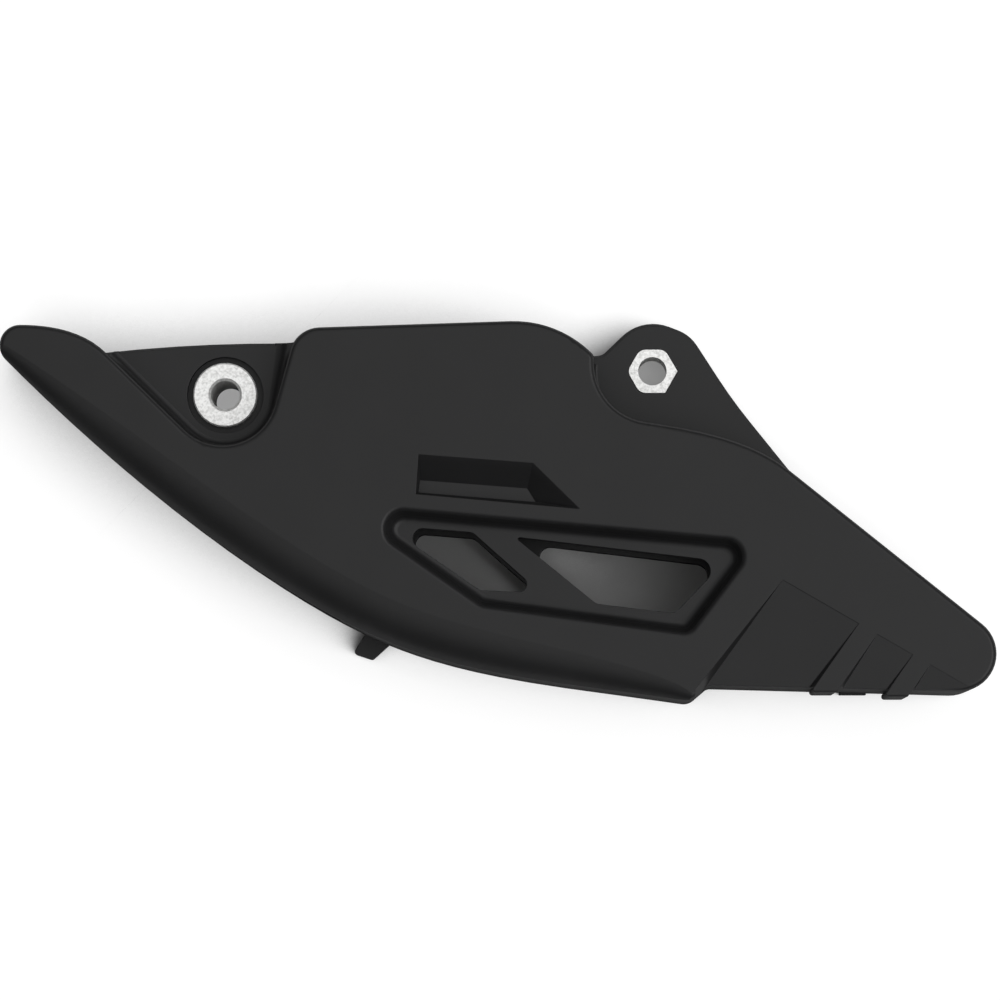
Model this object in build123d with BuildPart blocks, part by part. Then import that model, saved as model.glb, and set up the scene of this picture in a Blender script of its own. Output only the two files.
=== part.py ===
from build123d import *
from math import cos, radians, sin, tan
import os

# Motorcycle chain guide, lying on its mounting side.
# The origin is the front bolt axis at the back face, +X runs towards the rear
# wheel, +Y towards the swingarm and +Z is the bolt axis, towards the outside.

# Heights above the back face
face_height = 36.0
plate_height = 24.0
lug_height = 11.5

# Front bolt seat: flanged collar in a counterbore
front_bore = 6.6
front_shank = 10.0
front_flange = 14.7
front_flange_thickness = 3.2
front_flange_proud = 0.5
front_ring_gap = 1.4
bore_chamfer = 0.55

# Rear bolt seat: pressed hexagon collar
rear_axis = (98.1, 6.4)
rear_bore = 6.6
rear_hex_flats = 10.0
rear_worn_corner = 2.4
collar_clearance = 0.05
collar_edge = 0.3

# Fin at the front end
fin_tip_center = (-46.2, 10.6)
fin_tip_radius = 4.65
fin_hull_angle = -45.2
fin_wall_length = 25.3

# Pocket round the front bolt
pocket_radius = 12.3
pocket_left_angle = 225.6
pocket_right_angle = -15.5
pocket_blend = 2.4
pocket_side_blend = 5.0
hump_wall_length = 18.4

# Hump over the chain
hump_corner_radius = 7.0
hump_right = (65.4, 16.0)
valley_angle = 173.0
valley_radius = 2.0

# Pocket round the rear bolt
lug_pocket_radius = 13.6
lug_pocket_end_angle = 262.0
lug_blend = 1.0
lug_cove_stations = 6

# Rear wedge
slant_start = (128.6, -17.9)
slant_angle = -38.7
rear_corner = (192.4, -69.0)
rear_tip_radius = 8.6
wedge_heel = (110.7, -66.8)
wedge_heel_radius = 2.0
hull_corner = (106.4, -70.5)
hull_corner_radius = 3.5

# Hull curve along the lower edge, from its rear end to the fin
hull_end = (100.5, -69.65)
hull_end_angle = -8.3
hull_points = [(69.0, -65.15), (39.5, -57.6), (11.5, -42.8), (-18.8, -20.6)]

# Broad rounding of the hull edge, widest at a share of the curve from its rear end
rounding_widest = 9.8
rounding_widest_share = 0.45
rounding_rear = 4.5
rounding_front = 3.2
rounding_power = 3.3
rounding_edge_tilt = 50.0
rounding_stations = 24
rounding_lead = 6.0
rounding_lead_widths = (2.0, 1.2)
corner_overlap = 0.02
corner_outside = 1.5

# Small roundings of the outer edges
face_round = 1.2
plate_chamfer = 0.6
recess_round = 1.2

# Front plate and rear lug, each with a root inside the shell
plate_top = [(-32.0, 9.3), (-4.0, 11.6), (20.0, 11.8)]
plate_root = [(18.0, -15.0), (-14.0, -14.0)]
lug_corners = [
    (78.0, 9.9),
    (86.4, 10.0),
    (95.8, 19.1),
    (106.8, 14.9),
    (116.6, -0.3),
    (137.0, -25.7),
]
lug_corner_radii = [3.0, 10.3, 9.0, 120.0]
lug_root = [(127.0, -30.0), (82.0, -12.0)]

# Framed recess and its two windows
recess_corners = [(25.6, -25.6), (122.0, -34.3), (106.1, -55.3), (58.9, -48.9)]
recess_corner_radii = [4.3, 4.2, 3.4, 4.0]
recess_depth = 5.0
recess_draft = 14.0
recess_cove = 2.0
window_edge = 1.2
small_window = [(37.1, -30.3), (56.8, -31.9), (72.4, -45.8), (58.5, -45.1)]
small_window_radii = [2.3, 2.5, 1.8, 3.0]
large_window = [(66.2, -32.9), (114.2, -38.6), (102.9, -50.4), (85.0, -48.2)]
large_window_radii = [0.4, 2.9, 3.0, 3.0]
inner_window_corner = 2.5

# Finger slot in the face
slot_rim = [(44.6, -14.4), (70.6, -16.4), (81.3, -26.9), (44.0, -23.5)]
slot_floor = [(44.9, -20.1), (69.3, -22.0), (71.2, -25.1), (44.5, -22.9)]
slot_depth = 4.0

# Sunk panels of the rear wedge, and the ribs left between them
fade_point = (129.1, -42.6)
fade_angle = -31.0
panel_slope = 4.3
panel_side_draft = 32.0
crease_top = (127.2, -43.0)
crease_foot = (107.4, -67.8)
rib_tops = [(144.4, -53.0), (156.8, -59.8)]
rib_feet = [(133.4, -68.6), (150.0, -69.6)]
rib_widths = [5.8, 5.4]
rib_back = 12.0
rib_round = 0.7
rib_root = 5.0
far_rib = (144.4, -66.0)
far_rib_size = (6.0, 4.5, 6.0)

# Chain tunnel
tunnel_back = 5.0
tunnel_width = 21.5
tunnel_height = 27.0
tunnel_point = (78.0, -40.0)
tunnel_angle = -6.0
roof_lead_start = -8.0
roof_lead_radius = 30.0
roof_lead_turn = 18.0
floor_lead_start = 36.0
floor_lead_radius = 14.0
floor_lead_turn = 50.0
tunnel_lead_out = 30.0
tunnel_front_end = -70.0
tunnel_rear_end = 190.0

# Margins of the cuts: how low they start beside the guide, and how far they run past a face
cut_low = -80.0
cut_margin = 1.0

# Cored pockets of the back
wall = 4.0
roof_wall = 3.6
core_rib = 3.0
core_width = 24.0
core_start = 20.0
core_corner = 1.5
hump_cores = 2
hump_core_low = -7.5
hump_core_high = 9.5
row_cores = 4
row_core_high = -11.0
row_core_fall_start = 84.0
row_core_fall = 0.26
fin_core = [(-41.0, 7.3), (-28.6, 4.2), (-24.6, -6.6)]
fin_core_skin = 8.0

# Stop tab on the back wall
tab_corners = [(34.0, -50.0), (28.7, -58.6), (33.2, -60.1), (40.0, -54.0)]
tab_thickness = 4.0
tab_round = 0.8


def polar(radius, angle, center=(0.0, 0.0)):
    """A point at a radius and an angle from a center."""
    return (center[0] + radius * cos(radians(angle)), center[1] + radius * sin(radians(angle)))


def tunnel_line(x, side):
    """Y of the tunnel's roof (side 1) or floor (side -1) at x."""
    return tunnel_point[1] + (x - tunnel_point[0]) * tan(radians(tunnel_angle)) + side * tunnel_height / 2


def rounded_polygon(corners, radii):
    """A closed outline with its corners rounded, as a sketch."""
    with BuildSketch() as outline:
        with BuildLine():
            FilletPolyline(*corners, radius=radii, close=True)
        make_face()
    return outline.sketch


def chamfered_polygon(corners, length):
    """A closed outline with its corners cut off, as a sketch."""
    with BuildSketch() as outline:
        Polygon(*corners, align=None)
        chamfer(outline.vertices(), length=length)
    return outline.sketch


def corner_section(origin, along, width, turn=-90, tilt=90):
    """The space between a square corner and the arc that rounds it, square to the edge.

    It lies below the edge on its right side, or above it on its left side with a turn of 90.
    The arc leaves the face smoothly and meets the wall when it has tilted by the angle given.
    """
    section = Plane(origin=origin, x_dir=along.rotate(Axis.Z, turn), z_dir=along)
    radius = (width + corner_overlap) / sin(radians(tilt))
    center = (width, radius - corner_overlap)
    low, middle, high = (polar(radius, angle - 90, center) for angle in (-tilt, -tilt / 2, 0))
    with BuildSketch(section) as corner:
        with BuildLine():
            ThreePointArc(low, middle, high)
            Polyline(high, (-corner_outside, -corner_outside), low)
        make_face()
    return corner.sketch


# Thick shell over the chain, as a prism with rounded face edges
fin_tip_top = polar(fin_tip_radius, 90, fin_tip_center)
pocket_left = polar(pocket_radius, pocket_left_angle)
pocket_right = polar(pocket_radius, pocket_right_angle)
fin_root = polar(fin_wall_length, pocket_left_angle - 90, pocket_left)
hump_corner = polar(hump_wall_length, pocket_right_angle + 90, pocket_right)
valley = polar(lug_pocket_radius, valley_angle, rear_axis)
lug_pocket_end = polar(lug_pocket_radius, lug_pocket_end_angle, rear_axis)

with BuildPart() as shell:
    with BuildSketch() as shell_outline:
        with BuildLine() as shell_edge:
            fin_tip = CenterArc(fin_tip_center, fin_tip_radius, 90, 180 + fin_hull_angle)
            Spline(fin_tip_top, fin_root, tangents=((1, 0), polar(1, pocket_left_angle + 90)))
            Line(fin_root, pocket_left)
            CenterArc((0, 0), pocket_radius, pocket_left_angle, 360 + pocket_right_angle - pocket_left_angle)
            FilletPolyline(pocket_right, hump_corner, hump_right, radius=hump_corner_radius)
            hump_slope = (hump_right[0] - hump_corner[0], hump_right[1] - hump_corner[1])
            TangentArc(hump_right, valley, tangent=hump_slope)
            CenterArc(rear_axis, lug_pocket_radius, valley_angle, lug_pocket_end_angle - valley_angle)
            lug_edge = Spline(
                lug_pocket_end,
                slant_start,
                tangents=(polar(1, lug_pocket_end_angle - 270), polar(1, slant_angle)),
            )
            FilletPolyline(
                slant_start,
                rear_corner,
                wedge_heel,
                hull_corner,
                hull_end,
                radius=[rear_tip_radius, wedge_heel_radius, hull_corner_radius],
            )
            hull_edge = Spline(
                hull_end,
                *hull_points,
                fin_tip @ 1,
                tangents=(polar(1, 180 + hull_end_angle), polar(1, 180 + fin_hull_angle)),
            )
        make_face()
        fillet(shell_outline.vertices().sort_by_distance(valley)[0], radius=valley_radius)
    extrude(amount=face_height)
    fillet(shell.faces().sort_by(Axis.Z)[-1].edges(), radius=face_round)

# Waste of the broad rounding, lofted along the hull curve
lift = Vector(0, 0, face_height)
rear_along = Vector(*polar(1, 180 + hull_end_angle))
front_along = hull_edge % 1
rear_lead = corner_section(
    (hull_edge @ 0) + lift - rear_along * rounding_lead,
    rear_along,
    rounding_lead_widths[0],
    tilt=rounding_edge_tilt,
)
front_lead = corner_section(
    (hull_edge @ 1) + lift + front_along * rounding_lead,
    front_along,
    rounding_lead_widths[1],
    tilt=rounding_edge_tilt,
)
stations = []
for index in range(rounding_stations):
    share = index / (rounding_stations - 1)
    if share < rounding_widest_share:
        drop = rounding_widest - rounding_rear
        reach = 1 - share / rounding_widest_share
    else:
        drop = rounding_widest - rounding_front
        reach = (share - rounding_widest_share) / (1 - rounding_widest_share)
    width = rounding_widest - drop * reach**rounding_power
    stations.append(
        corner_section((hull_edge @ share) + lift, hull_edge % share, width, tilt=rounding_edge_tilt)
    )
with BuildPart() as hull_waste:
    loft(sections=[rear_lead, *stations, front_lead])

# Front plate, below the face
with BuildPart() as front_plate:
    with BuildSketch() as plate_outline:
        with BuildLine():
            ThreePointArc(*plate_top)
            Polyline(plate_top[-1], *plate_root, plate_top[0])
        make_face()
    extrude(amount=plate_height)
    chamfer(front_plate.faces().sort_by(Axis.Z)[-1].edges(), length=plate_chamfer)

# Cove between the plate and the pocket's walls, wider on the side of the hump
plate_lift = Vector(0, 0, plate_height)
left_along = Vector(*polar(1, pocket_left_angle + 90))
right_along = Vector(*polar(1, pocket_right_angle + 90))
cove_start = Vector(*fin_root) + plate_lift
cove_left = Vector(*pocket_left) + plate_lift
cove_right = Vector(*pocket_right) + plate_lift
cove_end = Vector(*hump_corner) + plate_lift
with BuildPart() as pocket_cove:
    loft(
        sections=[
            corner_section(cove_start, left_along, pocket_blend, 90),
            corner_section(cove_left, left_along, pocket_blend, 90),
        ],
        ruled=True,
    )
    loft(
        sections=[
            corner_section(cove_right, right_along, pocket_blend, 90),
            corner_section(cove_end, right_along, pocket_side_blend, 90),
        ],
        ruled=True,
    )
    revolve(
        corner_section(cove_right, right_along, pocket_blend, 90),
        axis=Axis.Z,
        revolution_arc=-(360 + pocket_right_angle - pocket_left_angle),
    )
    with BuildSketch(Plane.XY.offset(plate_height - wall)):
        add(plate_outline.sketch)
    extrude(amount=face_height - plate_height + wall, mode=Mode.INTERSECT)

# Rear lug
with BuildPart() as rear_lug:
    with BuildSketch() as lug_outline:
        add(rounded_polygon([*lug_corners, *lug_root], [0, *lug_corner_radii, 0, 0, 0]))
    extrude(amount=lug_height)
    chamfer(rear_lug.faces().sort_by(Axis.Z)[-1].edges(), length=plate_chamfer)

# Cove between the lug and the shell, along the pocket's arc and the curve behind it
lug_lift = Vector(0, 0, lug_height)
lug_stations = [index / (lug_cove_stations - 1) for index in range(lug_cove_stations)]
with BuildPart() as lug_cove:
    loft(
        sections=[
            corner_section((lug_edge @ share) + lug_lift, lug_edge % share, lug_blend, 90)
            for share in lug_stations
        ]
    )
    revolve(
        corner_section(Vector(*lug_pocket_end) + lug_lift, lug_edge % 0, lug_blend, 90),
        axis=Axis((*rear_axis, 0), (0, 0, 1)),
        revolution_arc=valley_angle - lug_pocket_end_angle,
    )
    with BuildSketch(Plane.XY.offset(lug_height - wall)):
        add(lug_outline.sketch)
    extrude(amount=face_height - lug_height + wall, mode=Mode.INTERSECT)

# Waste of the wedge panels, above a tilted plane and between the ribs
fall = polar(sin(radians(panel_slope)), fade_angle - 90)
panel_plane = Plane(
    origin=(*fade_point, face_height),
    x_dir=polar(1, fade_angle),
    z_dir=(*fall, cos(radians(panel_slope))),
)
with BuildPart() as panel_waste:
    with BuildSketch(Plane.XY.offset(face_height - wall)):
        panel_reach = (cut_low - fade_point[1]) / sin(radians(fade_angle))
        Polygon(
            crease_top,
            crease_foot,
            (crease_foot[0], cut_low),
            polar(panel_reach, fade_angle, fade_point),
            align=None,
        )
    extrude(amount=2 * wall)
    split(bisect_by=panel_plane, keep=Keep.TOP)
    with BuildSketch(Plane.XY.offset(face_height)) as panel_sides:
        Polygon(crease_top, crease_foot, (crease_foot[0], crease_top[1]), align=None)
        for top, foot, width in zip(rib_tops, rib_feet, rib_widths):
            Polygon(top, foot, (foot[0] + width, foot[1]), (top[0] + width, top[1]), align=None)
    extrude(amount=wall, mode=Mode.SUBTRACT)
    extrude(panel_sides.sketch, amount=-wall, taper=-panel_side_draft, mode=Mode.SUBTRACT)

# Ribs that run over the lower edge of the wedge, and a far one on the back wall
with BuildPart() as wedge_ribs:
    with BuildSketch(Plane.XY.offset(rib_back)):
        for top, foot, width in zip(rib_tops, rib_feet, rib_widths):
            share = rib_root / (top[1] - foot[1])
            root = (foot[0] + share * (top[0] - foot[0]), foot[1] + rib_root)
            with BuildLine():
                Polyline(root, foot, (foot[0] + width, foot[1]), (root[0] + width, root[1]), close=True)
            make_face()
    extrude(amount=face_height - rib_back)
    rib_ends = wedge_ribs.faces().filter_by(Axis.Y).sort_by(Axis.Y)[: len(rib_feet)]
    fillet(rib_ends.edges(), radius=rib_round)
    with Locations(far_rib):
        Box(*far_rib_size, align=(Align.CENTER, Align.CENTER, Align.MIN))

# Waste of the recess and its windows
recess_floor = face_height - recess_depth
recess_foot_radius = min(recess_corner_radii) - recess_depth * tan(radians(recess_draft))
tunnel_front = tunnel_back + tunnel_width
with BuildPart() as recess_waste:
    with BuildSketch(Plane.XY.offset(face_height)):
        add(rounded_polygon(recess_corners, recess_corner_radii))
    extrude(amount=-recess_depth, taper=recess_draft)
    recess_foot = recess_waste.faces().sort_by(Axis.Z)[0].edges()
    fillet(recess_foot, radius=min(recess_cove, recess_foot_radius - corner_overlap))

with BuildPart() as window_waste:
    with BuildSketch(Plane.XY.offset(recess_floor + window_edge)):
        add(rounded_polygon(small_window, small_window_radii))
        add(rounded_polygon(large_window, large_window_radii))
    extrude(amount=tunnel_front - cut_margin - recess_floor - window_edge)
    with BuildSketch(Plane.XY.offset(-cut_margin)):
        add(rounded_polygon(small_window, small_window_radii))
        add(rounded_polygon(large_window, [inner_window_corner, *large_window_radii[1:]]))
    extrude(amount=tunnel_back + 2 * cut_margin)

# Waste of the slot, deepest at its lower left
with BuildPart() as slot_waste:
    with BuildSketch(Plane.XY.offset(face_height)):
        Polygon(*slot_rim, align=None)
    with BuildSketch(Plane.XY.offset(face_height - slot_depth)):
        Polygon(*slot_floor, align=None)
    loft(ruled=True)

# Waste of the chain tunnel, with a lead-in on its roof and floor
with BuildPart() as tunnel_waste:
    with BuildSketch(Plane.XY.offset(tunnel_back)):
        with BuildLine():
            roof = Line(
                (tunnel_rear_end, tunnel_line(tunnel_rear_end, 1)),
                (roof_lead_start, tunnel_line(roof_lead_start, 1)),
            )
            roof_lead = JernArc(roof @ 1, roof % 1, roof_lead_radius, -roof_lead_turn)
            roof_out = PolarLine(roof_lead @ 1, tunnel_lead_out, direction=roof_lead % 1)
            floor = Line(
                (tunnel_rear_end, tunnel_line(tunnel_rear_end, -1)),
                (floor_lead_start, tunnel_line(floor_lead_start, -1)),
            )
            floor_lead = JernArc(floor @ 1, floor % 1, floor_lead_radius, floor_lead_turn)
            floor_out = PolarLine(floor_lead @ 1, tunnel_lead_out, direction=floor_lead % 1)
            Polyline(roof_out @ 1, (tunnel_front_end, cut_low), floor_out @ 1)
            Line(roof @ 0, floor @ 0)
        make_face()
    extrude(amount=tunnel_width)

# Waste of the cored pockets behind the hump, above the tunnel and in the fin
with BuildPart() as core_waste:
    core_pitch = core_width + core_rib
    with BuildSketch():
        for index in range(hump_cores):
            left = core_start + index * core_pitch
            right = left + core_width
            corners = [
                (left, hump_core_low),
                (left, hump_core_high),
                (right, hump_core_high),
                (right, hump_core_low),
            ]
            add(chamfered_polygon(corners, core_corner))
    extrude(amount=face_height - wall)
    with BuildSketch():
        for index in range(row_cores):
            left = core_start + index * core_pitch
            right = left + core_width
            corners = [
                (left, tunnel_line(left, 1) + roof_wall),
                (left, row_core_high - max(0, left - row_core_fall_start) * row_core_fall),
                (right, row_core_high - max(0, right - row_core_fall_start) * row_core_fall),
                (right, tunnel_line(right, 1) + roof_wall),
            ]
            add(chamfered_polygon(corners, core_corner))
    extrude(amount=face_height - slot_depth - wall)
    with BuildSketch():
        add(chamfered_polygon(fin_core, core_corner))
    extrude(amount=face_height - fin_core_skin)

# Stop tab
with BuildPart() as stop_tab:
    with BuildSketch():
        add(rounded_polygon(tab_corners, [tab_round] * 4))
    extrude(amount=tab_thickness)

# Hexagon of the rear collar, with the corners that the moulding laps over worn round
with BuildSketch() as rear_hexagon:
    RegularPolygon(rear_hex_flats / 2, 6, major_radius=False)
    right_corners = rear_hexagon.vertices().sort_by_distance(polar(rear_hex_flats, -30))[:2]
    left_corners = [corner for corner in rear_hexagon.vertices() if corner not in right_corners]
    fillet(left_corners, radius=rear_worn_corner)

flange_seat = front_flange_thickness - front_flange_proud
with BuildPart() as guide_body:
    add(shell.part)
    add(recess_waste.part, mode=Mode.SUBTRACT)
    recess_top = guide_body.edges(Select.LAST).filter_by_position(Axis.Z, face_height, face_height)
    fillet(recess_top, radius=recess_round)
    add(slot_waste.part, mode=Mode.SUBTRACT)
    add(hull_waste.part, mode=Mode.SUBTRACT)
    add(front_plate.part)
    add(rear_lug.part)
    add(lug_cove.part)
    add(pocket_cove.part)
    add(wedge_ribs.part)
    add(panel_waste.part, mode=Mode.SUBTRACT)
    add(tunnel_waste.part, mode=Mode.SUBTRACT)
    add(window_waste.part, mode=Mode.SUBTRACT)
    add(core_waste.part, mode=Mode.SUBTRACT)
    add(stop_tab.part)
    with Locations((0, 0, plate_height)):
        CounterBoreHole(
            radius=front_shank / 2 + collar_clearance,
            counter_bore_radius=front_flange / 2 + front_ring_gap,
            counter_bore_depth=flange_seat,
            depth=plate_height,
        )
    with BuildSketch(Plane.XY):
        with Locations(rear_axis):
            add(offset(rear_hexagon.sketch, amount=collar_clearance, mode=Mode.PRIVATE))
    extrude(amount=lug_height, mode=Mode.SUBTRACT)

# Flanged collar of the front bolt
with BuildPart() as front_collar:
    Cylinder(front_shank / 2, plate_height, align=(Align.CENTER, Align.CENTER, Align.MIN))
    with Locations((0, 0, plate_height - flange_seat)):
        Cylinder(front_flange / 2, front_flange_thickness, align=(Align.CENTER, Align.CENTER, Align.MIN))
    Hole(front_bore / 2)
    flange_top = front_collar.faces().sort_by(Axis.Z)[-1]
    chamfer(flange_top.inner_wires()[0].edges(), length=bore_chamfer)
    flange_top = front_collar.faces().sort_by(Axis.Z)[-1]
    chamfer(flange_top.outer_wire().edges(), length=collar_edge)

# Hexagon collar of the rear bolt
with BuildPart() as rear_collar:
    with BuildSketch():
        with Locations(rear_axis):
            add(rear_hexagon.sketch)
            Circle(rear_bore / 2, mode=Mode.SUBTRACT)
    extrude(amount=lug_height)

os.makedirs("parts", exist_ok=True)
for piece, name in (
    (guide_body, "guide_body"),
    (front_collar, "front_collar"),
    (rear_collar, "rear_collar"),
):
    piece.part.label = name
    export_step(piece.part, f"parts/{name}.step")
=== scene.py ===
import math

import bpy
from mathutils import Matrix, Vector

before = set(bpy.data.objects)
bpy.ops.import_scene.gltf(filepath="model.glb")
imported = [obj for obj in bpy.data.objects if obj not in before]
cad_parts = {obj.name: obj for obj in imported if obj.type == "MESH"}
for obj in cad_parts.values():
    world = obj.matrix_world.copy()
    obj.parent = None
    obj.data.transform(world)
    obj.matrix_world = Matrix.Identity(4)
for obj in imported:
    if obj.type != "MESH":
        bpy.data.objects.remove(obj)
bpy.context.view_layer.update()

# Sizes in metres
MM = 0.001
FRONT_BOLT = Vector((0.0, 0.0, 0.0)) * MM
REAR_BOLT = Vector((98.1, 6.4, 0.0)) * MM

# Camera of the photograph, nearly square to the face
IMAGE_SIZE = 1000
SENSOR = 36.0
FOCAL_PIXELS = 6177.0
CAMERA_AT = Vector((78.08, -108.00, 1435.42)) * MM
CAMERA_TARGET = Vector((62.93, -23.78, 18.0)) * MM
CLIP_NEAR = 50 * MM
CLIP_FAR = 50000 * MM

# Floor: its paint, and the paint that shows in the picture and in reflections
FLOOR_DROP = 0.2 * MM
FLOOR_HALF = 30000 * MM
FLOOR_COLOUR = (0.88, 0.88, 0.88, 1.0)
FLOOR_SHADED = (0.32, 0.32, 0.32, 1.0)

# Glow that the floor adds to its shown paint, by how much of the leaning sky it sees: a painted soft shadow
# around and under the object
FLOOR_WHITE = 0.78
OPEN_REACH = 250 * MM
OPEN_LEAN = Vector((0.55, -0.22, 1.0))
OPEN_SAMPLES = 16
OPEN_SPAN = (0.28, 0.63)
# Painted shade in reflections: the floor's glow seen in gloss fades sooner near the object
GLOSS_SPAN = (0.60, 0.98)

# Painted pools of light on the ground under the front and the rear bolt bore
BORE_PAINTED_LIGHTS = (0.30, 0.17)
BORE_REACH = 3.3 * MM
BORE_FADE = 1.0 * MM

# Sky brightness by height above the horizon, and its lean towards one side
SKY_STOPS = ((0.0, 1.0), (0.09, 1.0), (0.14, 0.03), (0.55, 0.06), (0.82, 1.25), (1.0, 1.25))
LEAN_SPAN = (0.10, 0.20)
SKY_LEAN = Vector((0.90, 0.30, 0.0))

# Key light: its tilt from straight above and its heading from +X, in degrees
KEY_TILT = 30.0
KEY_AZIMUTH = -10.0
KEY_SPREAD = 44.0
KEY_STRENGTH = 0.8

# Plastic: a noise is its scale per metre and its detail
PLASTIC_COLOUR = (0.0116, 0.0116, 0.0120, 1.0)
PLASTIC_PALE = (0.0128, 0.0128, 0.0132, 1.0)
PLASTIC_IOR = 1.29
PLASTIC_ROUGHNESS = (0.34, 0.37)
MOTTLE_NOISE = (60.0, 3.0)
MOTTLE_SPAN = (0.35, 0.65)
WALL_ROUGHNESS = 0.90
WALL_SPAN = (0.30, 0.55)
GRAIN_NOISE = (2600.0, 2.0)
GRAIN_HEIGHT = 0.010 * MM
EDGE_RADIUS = 0.2 * MM
EDGE_SAMPLES = 8

# Metal
METAL_COLOUR = (0.75, 0.75, 0.74, 1.0)
METAL_DARK = (0.50, 0.50, 0.49, 1.0)
METAL_ROUGHNESS = (0.34, 0.46)
METAL_SHARE = 0.6
PATCH_NOISE = (1700.0, 3.0)
PATCH_SPAN = (0.4, 0.7)
SPECK_NOISE = (1500.0, 4.0)
SPECK_SPAN = (0.3, 0.7)
SPECK_HEIGHT = 0.016 * MM
TURNING_SCALE = 900.0
TURNING_WOBBLE = 0.6
TURNING_HEIGHT = 0.006 * MM

# Sockets of Blender's Mix node that carry colours
MIX_INPUTS = (0, 6, 7)
MIX_RESULT = 2


class Nodes:
    """The node tree of one material or world, filled by short calls."""

    def __init__(self, owner):
        owner.use_nodes = True
        self.tree = owner.node_tree
        self.tree.nodes.clear()

    def new(self, kind):
        return self.tree.nodes.new(kind)

    def fill(self, socket, value):
        if isinstance(value, bpy.types.NodeSocket):
            self.tree.links.new(value, socket)
        else:
            socket.default_value = value

    def add(self, kind, **inputs):
        node = self.new(kind)
        for name, value in inputs.items():
            self.fill(node.inputs[name.replace("_", " ")], value)
        return node

    def operate(self, kind, operation, first, second):
        node = self.new(kind)
        node.operation = operation
        self.fill(node.inputs[0], first)
        self.fill(node.inputs[1], second)
        return node.outputs

    def math(self, operation, first, second=0.0):
        return self.operate("ShaderNodeMath", operation, first, second)["Value"]

    def vector(self, operation, first, second):
        return self.operate("ShaderNodeVectorMath", operation, first, second)

    def span(self, value, low, high, to_low, to_high):
        limits = {"From_Min": low, "From_Max": high, "To_Min": to_low, "To_Max": to_high}
        return self.add("ShaderNodeMapRange", Value=value, **limits).outputs["Result"]

    def blend(self, share, first, second):
        node = self.new("ShaderNodeMix")
        node.data_type = "RGBA"
        for index, value in zip(MIX_INPUTS, (share, first, second)):
            self.fill(node.inputs[index], value)
        return node.outputs[MIX_RESULT]

    def noise(self, scale, detail):
        return self.add("ShaderNodeTexNoise", Vector=self.place(), Scale=scale, Detail=detail).outputs[0]

    def place(self):
        return self.new("ShaderNodeTexCoord").outputs["Object"]

    def height(self, direction):
        return self.add("ShaderNodeSeparateXYZ", Vector=direction).outputs["Z"]

    def direction(self, vector):
        x, y, z = vector.normalized()
        return self.add("ShaderNodeCombineXYZ", X=x, Y=y, Z=z).outputs["Vector"]

    def finish(self, shader, kind="ShaderNodeOutputMaterial"):
        self.tree.links.new(shader, self.new(kind).inputs["Surface"])


def moulded_plastic(material):
    """Satin black moulding with a fine grain, a faint cloudiness, softened edges and duller side walls."""
    nodes = Nodes(material)
    mottle = nodes.noise(*MOTTLE_NOISE)
    colour = nodes.blend(nodes.span(mottle, *MOTTLE_SPAN, 0.0, 1.0), PLASTIC_COLOUR, PLASTIC_PALE)
    satin = nodes.span(mottle, *MOTTLE_SPAN, *PLASTIC_ROUGHNESS)
    upright = nodes.math("ABSOLUTE", nodes.height(nodes.new("ShaderNodeTexCoord").outputs["Normal"]))
    roughness = nodes.span(upright, *WALL_SPAN, WALL_ROUGHNESS, satin)
    bevel = nodes.add("ShaderNodeBevel", Radius=EDGE_RADIUS)
    bevel.samples = EDGE_SAMPLES
    grain = nodes.noise(*GRAIN_NOISE)
    bump = nodes.add("ShaderNodeBump", Height=grain, Distance=GRAIN_HEIGHT, Normal=bevel.outputs["Normal"])
    shader = nodes.add(
        "ShaderNodeBsdfPrincipled",
        Base_Color=colour,
        Roughness=roughness,
        IOR=PLASTIC_IOR,
        Normal=bump.outputs["Normal"],
    )
    nodes.finish(shader.outputs["BSDF"])


def turned_metal(material, axis):
    """Bright metal with fine turning rings about a bore axis and a mottled, speckled face."""
    nodes = Nodes(material)
    around = nodes.vector("SUBTRACT", nodes.place(), axis)["Vector"]
    rings = nodes.add("ShaderNodeTexWave", Vector=around, Scale=TURNING_SCALE, Distortion=TURNING_WOBBLE)
    rings.wave_type = "RINGS"
    rings.rings_direction = "Z"
    patches = nodes.noise(*PATCH_NOISE)
    colour = nodes.blend(nodes.span(patches, *PATCH_SPAN, 0.0, 1.0), METAL_COLOUR, METAL_DARK)
    specks = nodes.noise(*SPECK_NOISE)
    turned = nodes.add("ShaderNodeBump", Height=rings.outputs["Fac"], Distance=TURNING_HEIGHT)
    bump = nodes.add("ShaderNodeBump", Height=specks, Distance=SPECK_HEIGHT, Normal=turned.outputs["Normal"])
    shader = nodes.add(
        "ShaderNodeBsdfPrincipled",
        Base_Color=colour,
        Metallic=METAL_SHARE,
        Roughness=nodes.span(specks, *SPECK_SPAN, *METAL_ROUGHNESS),
        Normal=bump.outputs["Normal"],
    )
    nodes.finish(shader.outputs["BSDF"])


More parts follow.
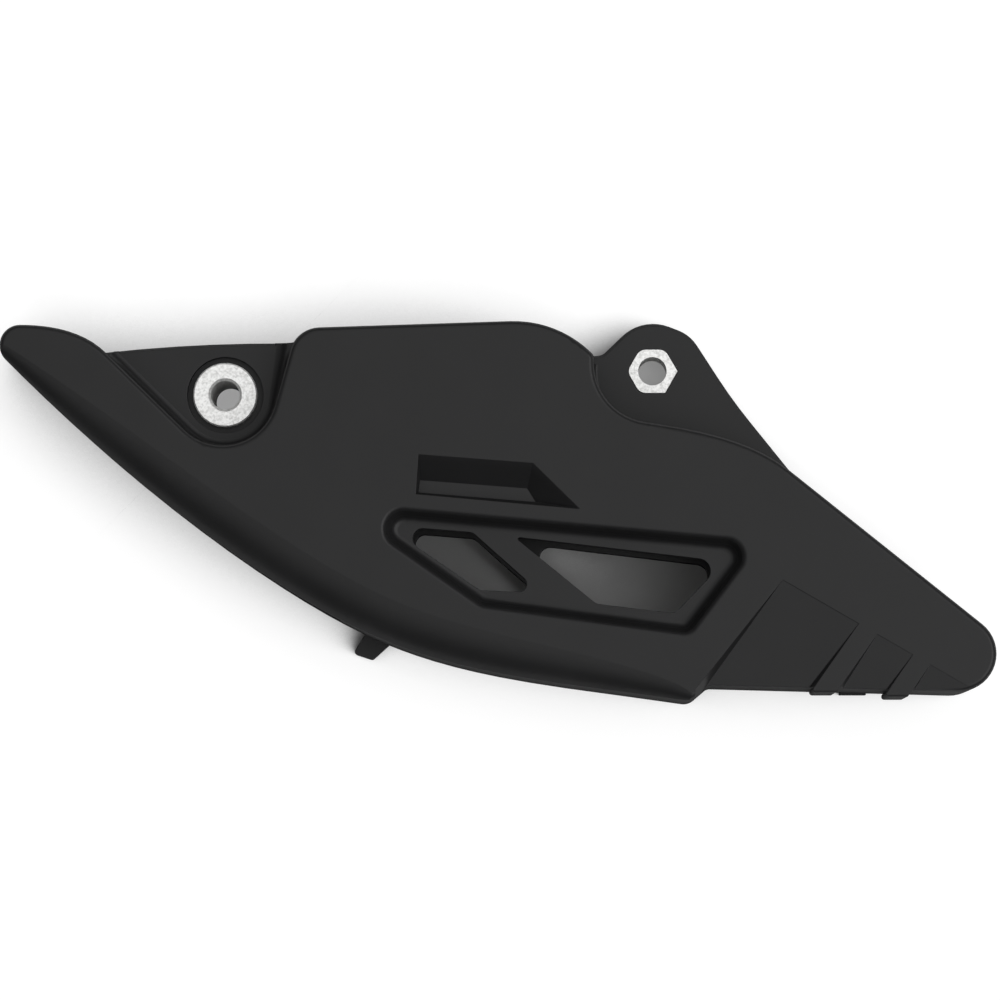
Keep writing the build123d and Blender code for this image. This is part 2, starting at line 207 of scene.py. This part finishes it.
def pale_floor(material):
    """Pale paint that glows white under the open sky, with a painted shadow where less of the sky is open,
    painted pools of light under the two bolt bores, and painted shade in its reflections near the object.
    """
    nodes = Nodes(material)
    rays = nodes.new("ShaderNodeLightPath").outputs
    clear = nodes.math("MAXIMUM", rays["Is Camera Ray"], rays["Is Transmission Ray"])
    gloss = rays["Is Glossy Ray"]
    shown = nodes.math("MAXIMUM", clear, gloss)
    paint = nodes.add("ShaderNodeBsdfDiffuse", Color=nodes.blend(shown, FLOOR_COLOUR, FLOOR_SHADED))
    # Painted shadow: the floor's white glow fades where the object hides the leaning sky
    lean = nodes.direction(OPEN_LEAN)
    openness = nodes.add("ShaderNodeAmbientOcclusion", Distance=OPEN_REACH, Normal=lean)
    openness.samples = OPEN_SAMPLES
    white = nodes.span(openness.outputs["AO"], *OPEN_SPAN, 0.0, FLOOR_WHITE)
    # Painted light: brighter round patches of glow on the floor under the two bolt bores
    for axis, brightness in zip((FRONT_BOLT, REAR_BOLT), BORE_PAINTED_LIGHTS):
        away = nodes.vector("DISTANCE", nodes.place(), axis)["Value"]
        bore = nodes.span(away, BORE_REACH, BORE_REACH + BORE_FADE, brightness, 0.0)
        white = nodes.math("MAXIMUM", white, bore)
    seen = nodes.math("MULTIPLY", white, clear)
    # Painted shade in reflections: gloss sees the floor's glow dimmed more steeply near the object
    reflected_glow_painted_shade = nodes.span(openness.outputs["AO"], *GLOSS_SPAN, 0.0, FLOOR_WHITE)
    glossy_glow_painted_shade = nodes.math("MULTIPLY", reflected_glow_painted_shade, gloss)
    # The floor glows though it is no lamp; the glow carries the painted shadow, the painted bore light and
    # the painted shade in reflections
    glow = nodes.add("ShaderNodeEmission", Strength=nodes.math("ADD", seen, glossy_glow_painted_shade))
    both = nodes.new("ShaderNodeAddShader")
    nodes.fill(both.inputs[0], paint.outputs["BSDF"])
    nodes.fill(both.inputs[1], glow.outputs["Emission"])
    nodes.finish(both.outputs["Shader"])


def studio_sky(world):
    """Sky that is bright overhead, dark lower down and white where it meets the floor."""
    nodes = Nodes(world)
    direction = nodes.new("ShaderNodeTexCoord").outputs["Generated"]
    height = nodes.height(direction)
    aside = nodes.vector("DOT_PRODUCT", direction, SKY_LEAN)["Value"]
    lean = nodes.math("MULTIPLY", aside, nodes.span(height, *LEAN_SPAN, 0.0, 1.0))
    strength = nodes.math("MAXIMUM", nodes.math("ADD", lean, 1.0), 0.0)
    ramp = nodes.add("ShaderNodeValToRGB", Fac=height)
    ramp.color_ramp.interpolation = "EASE"
    stops = ramp.color_ramp.elements
    for level, brightness in SKY_STOPS[1:-1]:
        stops.new(level)
    for stop, (level, brightness) in zip(stops, SKY_STOPS):
        stop.color = (brightness, brightness, brightness, 1.0)
    background = nodes.add("ShaderNodeBackground", Color=ramp.outputs["Color"], Strength=strength)
    nodes.finish(background.outputs["Background"], "ShaderNodeOutputWorld")


def material(name, paint, *details):
    made = bpy.data.materials.new(name)
    paint(made, *details)
    return made


def dress(node, made):
    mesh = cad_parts[node].data
    mesh.materials.clear()
    mesh.materials.append(made)


# Materials of the three pieces
dress("guide_body", material("guide_plastic", moulded_plastic))
dress("front_collar", material("front_collar_metal", turned_metal, FRONT_BOLT))
dress("rear_collar", material("rear_collar_metal", turned_metal, REAR_BOLT))

# Floor
bpy.ops.mesh.primitive_plane_add(size=2 * FLOOR_HALF, location=(0.0, 0.0, -FLOOR_DROP))
floor = bpy.context.object
floor.name = "floor"
floor.data.materials.append(material("floor", pale_floor))

# Sky
world = bpy.data.worlds.new("studio")
bpy.context.scene.world = world
studio_sky(world)

# Soft key light from the right
lamp = bpy.data.lights.new("key", "SUN")
lamp.angle = math.radians(KEY_SPREAD)
lamp.energy = KEY_STRENGTH
key = bpy.data.objects.new("key", lamp)
tilt = math.radians(KEY_TILT)
azimuth = math.radians(KEY_AZIMUTH)
toward = Vector((math.sin(tilt) * math.cos(azimuth), math.sin(tilt) * math.sin(azimuth), math.cos(tilt)))
key.rotation_mode = "QUATERNION"
key.rotation_quaternion = toward.to_track_quat("Z", "Y")
bpy.context.scene.collection.objects.link(key)

# Camera
camera_data = bpy.data.cameras.new("camera")
camera_data.sensor_width = SENSOR
camera_data.lens = FOCAL_PIXELS / IMAGE_SIZE * SENSOR
camera_data.clip_start = CLIP_NEAR
camera_data.clip_end = CLIP_FAR
camera = bpy.data.objects.new("camera", camera_data)
bpy.context.scene.collection.objects.link(camera)
ahead = (CAMERA_TARGET - CAMERA_AT).normalized()
right = ahead.cross(Vector((0.0, 1.0, 0.0))).normalized()
up = right.cross(ahead)
turn = Matrix((right, up, -ahead)).transposed()
camera.matrix_world = Matrix.Translation(CAMERA_AT) @ turn.to_4x4()
bpy.context.scene.camera = camera

bpy.context.scene.view_settings.view_transform = "Standard"
